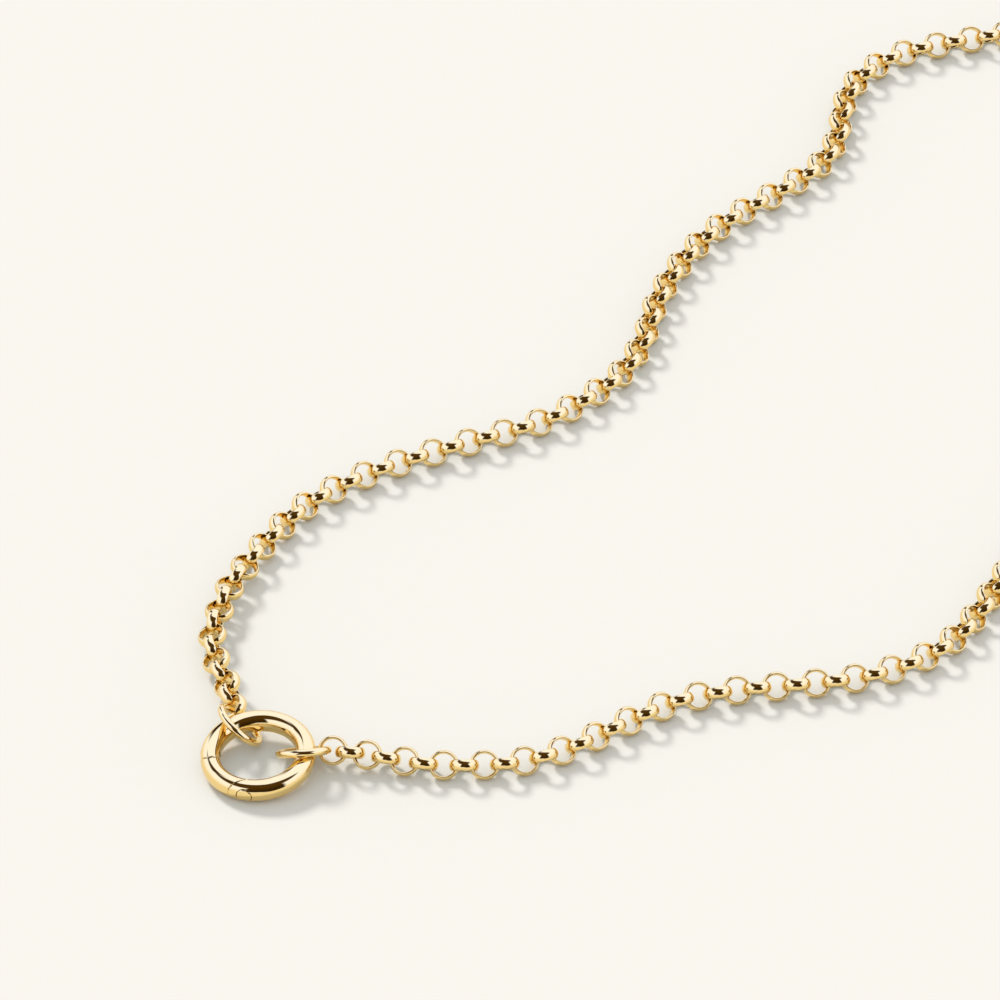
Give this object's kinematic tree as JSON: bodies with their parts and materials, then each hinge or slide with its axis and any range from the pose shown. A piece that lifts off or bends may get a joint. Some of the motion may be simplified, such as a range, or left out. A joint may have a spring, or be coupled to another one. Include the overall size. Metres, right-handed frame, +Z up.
{
  "type": "rolo chain necklace",
  "caption": "Gold rolo chain necklace lying flat, its ends joined by jump rings to a round hinged charm ring that opens inwards.",
  "frame": {"origin": "on the surface the necklace lies on, below the middle of its box", "axes": "+X to the right in the picture, +Y away from the camera along the surface, +Z up from the surface"},
  "size_m": [0.1512, 0.1508, 0.0048],
  "materials": {
    "chain_gold": "polished yellow gold",
    "wire_gold": "polished yellow gold",
    "ring_gold": "polished yellow gold"
  },
  "bodies": {
    "necklace": {"chain_left": "chain_gold", "chain_right": "chain_gold", "jump_ring_left": "wire_gold", "jump_ring_right": "wire_gold", "ring_body": "ring_gold", "hinge_pin": "wire_gold", "inset_disc": "ring_gold"},
    "gate": {"gate": "ring_gold"}
  },
  "joints": [
    {"name": "gate_hinge", "type": "hinge", "parent": "necklace", "child": "gate", "pos_m": [-0.07352, -0.06892, 0.00155], "axis": [-0.0566, -0.098, 0.9936], "range_deg": [0, 35], "stiffness_Nm_per_rad": 0.0002, "springref_deg": -28.65}
  ]
}
